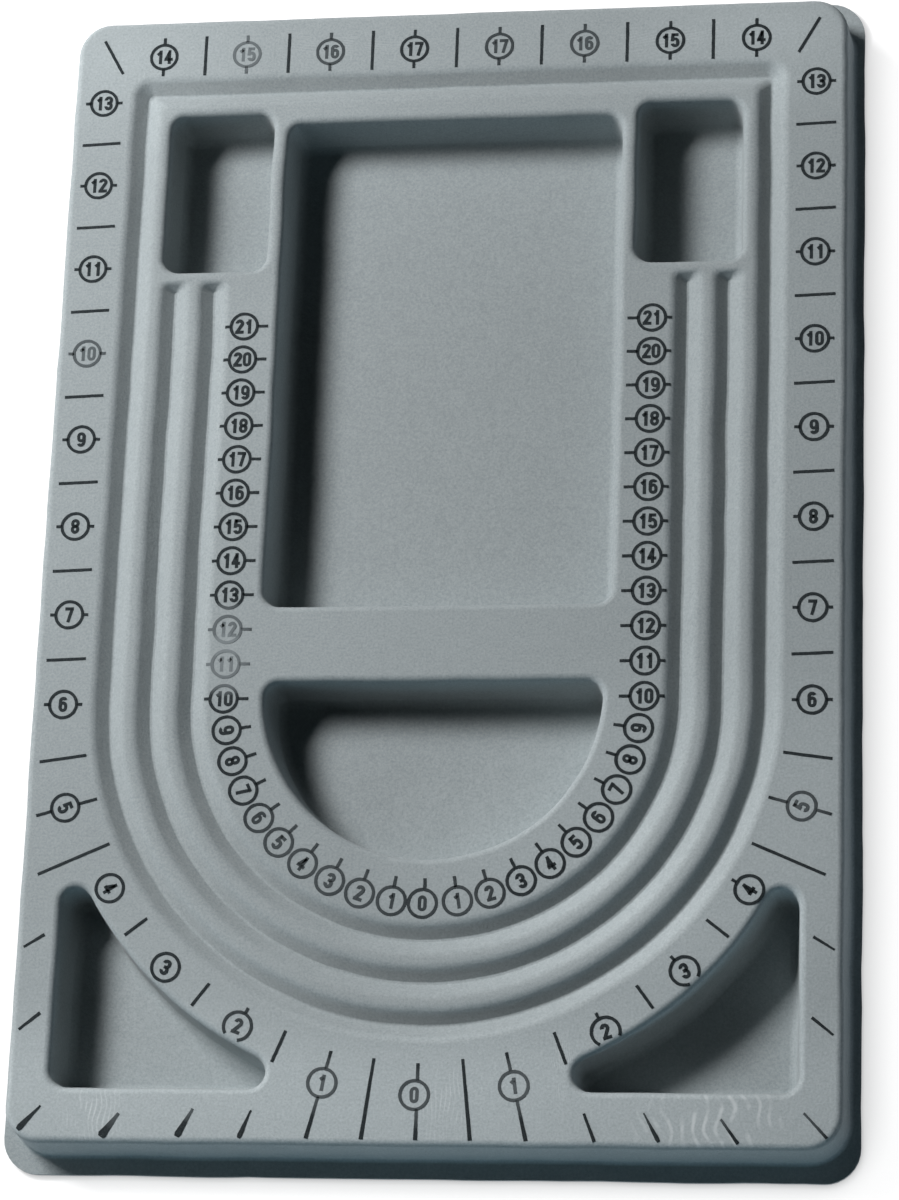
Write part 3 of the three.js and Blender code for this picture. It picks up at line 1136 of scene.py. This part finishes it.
def makeFlock():
    finish = flockFinish
    material, tree, shader = newMaterial("greyFlock", finish["shader"])
    coords = addNode(tree, "ShaderNodeTexCoord").outputs["Object"]
    fibres = addNoise(tree, coords, finish["fibres"])
    clumps = addNoise(tree, coords, finish["clumps"])
    drifts = addNoise(tree, coords, finish["drifts"])
    breaks = addStep(tree, addNoise(tree, coords, finish["breaks"]), *finish["breakStep"])

    # pile: dark between the fibres, pale at their tips
    fibreShare = addMath(tree, "MULTIPLY", fibres, 1 - finish["clumpShare"])
    clumpShare = addMath(tree, "MULTIPLY", clumps, finish["clumpShare"])
    mixed = addMath(tree, "ADD", fibreShare, clumpShare)
    shades = finish["shadow"], finish["body"], finish["tips"]
    tone = addNode(tree, "ShaderNodeHueSaturation")
    tree.links.new(addRamp(tree, mixed, finish["stops"], shades), tone.inputs["Color"])

    # painted light and shade: paler towards the foot, paler or darker in patches
    along = addNode(tree, "ShaderNodeSeparateXYZ")
    tree.links.new(coords, along.inputs["Vector"])
    face = press["faceLevel"] * mm
    # painted light: the face grows paler towards the foot
    foot = addStep(tree, along.outputs["Y"], finish["paintedFootLightFrom"], finish["paintedFootLightTo"])
    high = addStep(tree, along.outputs["Z"], face - finish["paintedFootLightDip"], face)
    paintedFootLight = addMath(tree, "MULTIPLY", addMath(tree, "MULTIPLY", foot, high), finish["paintedFootLight"])
    value = addScaled(tree, drifts, finish["driftSwing"], finish["driftLevel"])
    value = addMath(tree, "ADD", value, paintedFootLight)
    # painted light and shade: each patch makes the pile paler or darker
    for x, y, halfLong, halfWide, strength in finish["paintedLightPatches"]:
        spot = addSpot(tree, coords, x, y, halfLong, halfWide)[0]
        value = addMath(tree, "ADD", value, addMath(tree, "MULTIPLY", spot, strength))
    tree.links.new(value, tone.inputs["Value"])

    # brushed marks, on the face alone
    colour = tone.outputs["Color"]
    shown = addMath(tree, "MULTIPLY", high, breaks)
    for x, y, halfLong, halfWide, turn, strength in finish["scuffs"]:
        spot, place = addSpot(tree, coords, x, y, halfLong, halfWide, turn)
        wave = addNode(tree, "ShaderNodeTexWave", {"bands_direction": "X"}, finish["scuffWave"])
        tree.links.new(place, wave.inputs["Vector"])
        streak = addRamp(tree, wave.outputs["Fac"], finish["scuffLine"], ((0, 0, 0), (1, 1, 1)))
        soft = addMath(tree, "MULTIPLY", addMath(tree, "POWER", spot, finish["scuffEdge"]), strength)
        soft = addMath(tree, "MULTIPLY", soft, shown)
        colour = addMix(tree, addMath(tree, "MULTIPLY", streak, soft), colour, finish["scuff"])
    tree.links.new(colour, shader.inputs["Base Color"])
    height = addMath(tree, "ADD", fibres, addMath(tree, "MULTIPLY", clumps, finish["clumpHeight"]))
    addBump(tree, shader, height, finish["bump"])
    return material


inkFinish = {
    "solid": (0.008, 0.012, 0.014),
    "thin": (0.04, 0.05, 0.054),
    "stops": (0.4, 0.8),  # places of the two on the ramp
    "worn": (0.2, 0.23, 0.24),
    "fibres": (2000, 3, 0.7),
    "drifts": (160, 2, 0.5),
    "driftWear": 0.08,
    "bump": {"Strength": 0.4, "Distance": 0.3 * mm},
    "shader": {"Roughness": 0.9, "Specular IOR Level": 0.15},
    "wornEdge": 0.5,  # power, as on the flock's marks
    # (x, y, reach, strength) of the places where the print is worn
    "wornPlaces": (
        (-57.3, -31.4, 9, 0.95),
        (-57.3, -21.5, 8, 0.75),
        (-60.7, 150.3, 9, 0.8),
        (-101.2, 59.4, 8, 0.5),
        (-36.7, 150.1, 8, 0.3),
        (36.5, 149.9, 8, 0.3),
        (12, 150.1, 7, 0.2),
        (-38, -84, 17, 0.22),
        (-18, -97, 16, 0.24),
        (10, -98, 14, 0.2),
        (26, -146, 8, 0.5),
        (-25, -146, 8, 0.45),
        (0, -149, 8, 0.4),
        (-48.5, -130.5, 8, 0.16),
        (99, -71, 8, 0.35),
        (60, -151.5, 5, 0.3),
        (101, -152.5, 7, 0.3),
        (79.5, -153, 4, 0.4),
        (-60, -152, 4, 0.45),
        (-80, -154, 4, 0.35),
    ),
}


def makeInk():
    finish = inkFinish
    material, tree, shader = newMaterial("blackInk", finish["shader"])
    coords = addNode(tree, "ShaderNodeTexCoord").outputs["Object"]
    fibres = addNoise(tree, coords, finish["fibres"])
    drifts = addNoise(tree, coords, finish["drifts"])
    colour = addRamp(tree, fibres, finish["stops"], (finish["solid"], finish["thin"]))
    wear = addMath(tree, "MULTIPLY", drifts, finish["driftWear"])
    for x, y, reach, strength in finish["wornPlaces"]:
        spot = addSpot(tree, coords, x, y, reach, reach)[0]
        soft = addMath(tree, "POWER", spot, finish["wornEdge"])
        wear = addMath(tree, "ADD", wear, addMath(tree, "MULTIPLY", soft, strength), True)
    tree.links.new(addMix(tree, wear, colour, finish["worn"]), shader.inputs["Base Color"])
    addBump(tree, shader, fibres, finish["bump"])
    return material


trayFinish = {
    "dark": (0.26, 0.285, 0.295),
    "pale": (0.33, 0.358, 0.366),
    "stops": (0.3, 0.7),
    "flow": (45, 3, 0.5),
    "grain": (900, 4, 0.6),
    "roughSwing": 0.25,
    "roughLeast": 0.36,
    "bump": {"Strength": 0.15, "Distance": 0.2 * mm},
}


def makeTrayPlastic():
    finish = trayFinish
    material, tree, shader = newMaterial("trayPlastic", {})
    coords = addNode(tree, "ShaderNodeTexCoord").outputs["Object"]
    flow = addNoise(tree, coords, finish["flow"])
    grain = addNoise(tree, coords, finish["grain"])
    colour = addRamp(tree, flow, finish["stops"], (finish["dark"], finish["pale"]))
    tree.links.new(colour, shader.inputs["Base Color"])
    rough = addScaled(tree, grain, finish["roughSwing"], finish["roughLeast"])
    tree.links.new(rough, shader.inputs["Roughness"])
    addBump(tree, shader, grain, finish["bump"])
    return material


flockCover.data.materials.append(makeFlock())
traySheet.data.materials.append(makeTrayPlastic())
inkMaterial = makeInk()
inchPrint.data.materials.append(inkMaterial)
centimetrePrint.data.materials.append(inkMaterial)
print("finishes made")


# Floor, white to the camera with the board's shadow and a painted contact shadow on it, and an
# ordinary white table to the light
stage = {
    "size": 8,
    "level": -0.3 * mm,
    "table": 0.8,
    "shade": 0.42,
    "glow": 0.97,
    "paintedContactShadow": 12 * mm,  # reach of the painted contact shadow round the brim
}


def seenByCamera(tree):
    # 1 for the rays that show the background
    path = addNode(tree, "ShaderNodeLightPath").outputs
    seen = addMath(tree, "ADD", path["Is Camera Ray"], path["Is Glossy Ray"], True)
    return addMath(tree, "ADD", seen, path["Is Transmission Ray"], True)


deselectAll()
bpy.ops.mesh.primitive_plane_add(size=stage["size"], location=(0, 0, stage["level"]))
floor = bpy.context.object
floor.name = "floor"
floorMaterial, floorTree, floorShader = newMaterial(
    "whiteTable",
    {"Base Color": [stage["table"]] * 3 + [1], "Roughness": 1.0, "Specular IOR Level": 0.0},
)
shade = addNode(floorTree, "ShaderNodeBsdfDiffuse", None, {"Color": [stage["shade"]] * 3 + [1]})
# painted shadow: ambient occlusion darkens the glow that the camera sees near the board
paintedContactShadow = addNode(floorTree, "ShaderNodeAmbientOcclusion", None, {"Distance": stage["paintedContactShadow"]})
glow = addNode(floorTree, "ShaderNodeEmission")
lit = addMath(floorTree, "MULTIPLY", paintedContactShadow.outputs["AO"], stage["glow"])
floorTree.links.new(lit, glow.inputs["Strength"])
both = addNode(floorTree, "ShaderNodeAddShader")
choice = addNode(floorTree, "ShaderNodeMixShader")
floorTree.links.new(shade.outputs[0], both.inputs[0])
floorTree.links.new(glow.outputs[0], both.inputs[1])
floorTree.links.new(seenByCamera(floorTree), choice.inputs[0])
floorTree.links.new(floorShader.outputs[0], choice.inputs[1])
floorTree.links.new(both.outputs[0], choice.inputs[2])
floorTree.links.new(choice.outputs[0], floorTree.nodes["Material Output"].inputs["Surface"])
floor.data.materials.append(floorMaterial)

# Light: a soft lamp above the top left corner, weak ones low on three sides, a trace all round
lights = {
    "keyLamp": {
        "place": (-0.58, 0.36, 0.66),
        "watts": 10.8,
        "size": (0.36, 0.24),
        "colour": (1.0, 0.985, 0.99),
    },
    "frontLamp": {
        "place": (0.0, -0.7, 0.08),
        "watts": 0.66,
        "size": (0.5, 0.14),
        "colour": (0.51, 0.83, 1.0),
    },
    "leftLamp": {
        "place": (-0.7, 0.0, 0.25),
        "watts": 0.7,
        "size": (0.5, 0.5),
        "colour": (1.0, 1.0, 1.0),
    },
    "rightLamp": {
        "place": (0.7, 0.0, 0.08),
        "watts": 0.49,
        "size": (0.5, 0.14),
        "colour": (0.74, 0.88, 1.0),
    },
}
roomLight = 0.002


def addLamp(name, light):
    # aimed at the middle of the board
    bpy.ops.object.light_add(type="AREA", location=light["place"])
    lamp = bpy.context.object
    lamp.name = name
    lamp.data.shape = "RECTANGLE"
    lamp.data.size = light["size"][0]
    lamp.data.size_y = light["size"][1]
    lamp.data.energy = light["watts"]
    lamp.data.color = light["colour"]
    lamp.rotation_mode = "QUATERNION"
    lamp.rotation_quaternion = (-lamp.location).to_track_quat("-Z", "Y")


for name, light in lights.items():
    addLamp(name, light)
world = bpy.data.worlds.new("studio")
scene.world = world
world.use_nodes = True
worldTree = world.node_tree
background = worldTree.nodes["Background"]
background.inputs["Color"].default_value = (1, 1, 1, 1)
shown = addMath(worldTree, "MULTIPLY", seenByCamera(worldTree), 1 - roomLight)
worldTree.links.new(addMath(worldTree, "ADD", shown, roomLight), background.inputs["Strength"])
print("floor and lights placed")
